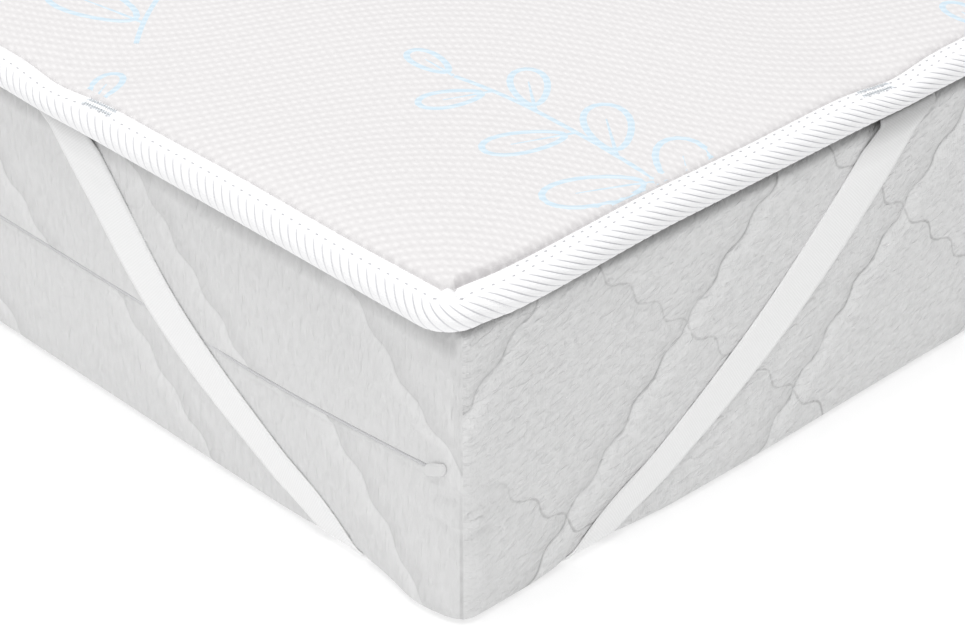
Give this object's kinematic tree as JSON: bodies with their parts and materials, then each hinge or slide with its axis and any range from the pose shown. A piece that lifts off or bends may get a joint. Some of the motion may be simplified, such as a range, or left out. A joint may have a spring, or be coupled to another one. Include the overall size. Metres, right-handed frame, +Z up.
{
  "type": "mattress topper on a mattress",
  "caption": "Thin padded mattress topper with a ribbed bound edge, held by an elastic strap round each corner of the foam mattress that it covers.",
  "frame": {"origin": "centre of the mattress's underside", "axes": "+Y along the length of the bed, +X across it, +Z up; the foot end with the shown corner is at -Y, the side with the zip at -X"},
  "size_m": [0.9268, 2.0108, 0.1793],
  "materials": {
    "mattress_cover": "matt grey-white knitted ticking, quilted",
    "zip": "grey covered zip",
    "zip_tab": "grey sewn tab",
    "topper_knit": "matt near-white knit with pale blue jacquard",
    "binding_tape": "white ribbed binding tape",
    "elastic": "white woven elastic"
  },
  "bodies": {
    "root": {"mattress": "mattress_cover", "mattress_zip": "zip", "mattress_zip_tab": "zip_tab", "topper_pad": "topper_knit", "edge_binding": "binding_tape", "corner_strap_front_left": "elastic", "corner_strap_front_right": "elastic", "corner_strap_back_right": "elastic", "corner_strap_back_left": "elastic"}
  },
  "joints": []
}
